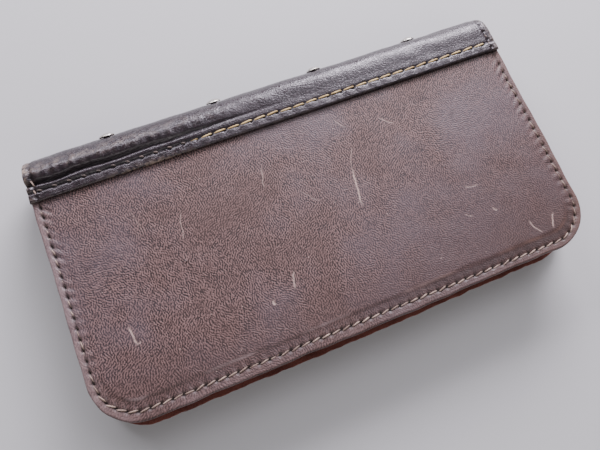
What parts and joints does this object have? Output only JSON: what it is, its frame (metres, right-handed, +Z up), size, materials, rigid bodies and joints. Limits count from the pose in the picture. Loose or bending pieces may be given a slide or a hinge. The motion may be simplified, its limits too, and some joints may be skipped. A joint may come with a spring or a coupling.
{
  "type": "bifold leather case",
  "caption": "Closed book-style bifold leather case with a rolled, studded spine, edge seams, stepped card pockets and a windowed device holder.",
  "frame": {"origin": "on the surface the closed case lies on, under the middle of its outline", "axes": "+X along the spine, +Y from the fore edge towards the spine, +Z up through the back cover, holder and front cover"},
  "size_m": [0.14, 0.0778, 0.016],
  "materials": {
    "brown_leather": "distressed pull-up leather with a worm-like grain, scratches and paler worn edges",
    "dark_leather": "near-black smooth leather, satin gloss, fine grain",
    "red_suede": "red-brown suede, fully matt",
    "grey_board": "raw grey board",
    "brown_thread": "twisted waxed thread, brown",
    "gold_thread": "twisted thread, dull gold",
    "nickel": "worn nickel plate"
  },
  "bodies": {
    "back_cover": {"back_outer_leather": "brown_leather", "back_board": "grey_board", "back_suede_lining": "red_suede", "back_edge_thread": "brown_thread", "back_spine_strip": "dark_leather", "back_strip_thread": "gold_thread", "holder_wall": "brown_leather", "holder_face": "brown_leather"},
    "spine_1": {"spine_leather_1": "dark_leather", "spine_lining_1": "red_suede"},
    "spine_2": {"spine_leather_2": "dark_leather", "spine_lining_2": "red_suede"},
    "spine_3": {"spine_leather_3": "dark_leather", "spine_lining_3": "red_suede", "spine_stud_1": "nickel", "spine_stud_2": "nickel", "spine_stud_3": "nickel", "spine_stud_4": "nickel", "stud_washer_1": "nickel", "stud_washer_2": "nickel", "stud_washer_3": "nickel", "stud_washer_4": "nickel"},
    "spine_4": {"spine_leather_4": "dark_leather", "spine_lining_4": "red_suede"},
    "front_cover": {"front_outer_leather": "brown_leather", "front_board": "grey_board", "front_suede_lining": "red_suede", "front_edge_thread": "brown_thread", "front_spine_strip": "dark_leather", "front_strip_thread": "gold_thread", "slip_pocket": "brown_leather", "card_pocket_upper": "brown_leather", "card_pocket_lower": "brown_leather"}
  },
  "joints": [
    {"name": "back_crease", "type": "hinge", "parent": "back_cover", "child": "spine_1", "pos_m": [0, 0.02857, 0], "axis": [-1, 0, 0], "range_deg": [0, 18]},
    {"name": "spine_lower_fold", "type": "hinge", "parent": "spine_1", "child": "spine_2", "pos_m": [0, 0.03593, 0.00234], "axis": [-1, 0, 0], "range_deg": [0, 49.5]},
    {"name": "spine_middle_fold", "type": "hinge", "parent": "spine_2", "child": "spine_3", "pos_m": [0, 0.03827, 0.008], "axis": [-1, 0, 0], "range_deg": [0, 45]},
    {"name": "spine_upper_fold", "type": "hinge", "parent": "spine_3", "child": "spine_4", "pos_m": [0, 0.03593, 0.01366], "axis": [-1, 0, 0], "range_deg": [0, 49.5]},
    {"name": "front_crease", "type": "hinge", "parent": "spine_4", "child": "front_cover", "pos_m": [0, 0.02857, 0.016], "axis": [-1, 0, 0], "range_deg": [0, 18]}
  ],
  "couplings": [
    {"joint": "back_crease", "follows": "spine_middle_fold", "ratio": 0.4},
    {"joint": "spine_lower_fold", "follows": "spine_middle_fold", "ratio": 1.1},
    {"joint": "spine_upper_fold", "follows": "spine_middle_fold", "ratio": 1.1},
    {"joint": "front_crease", "follows": "spine_middle_fold", "ratio": 0.4}
  ]
}
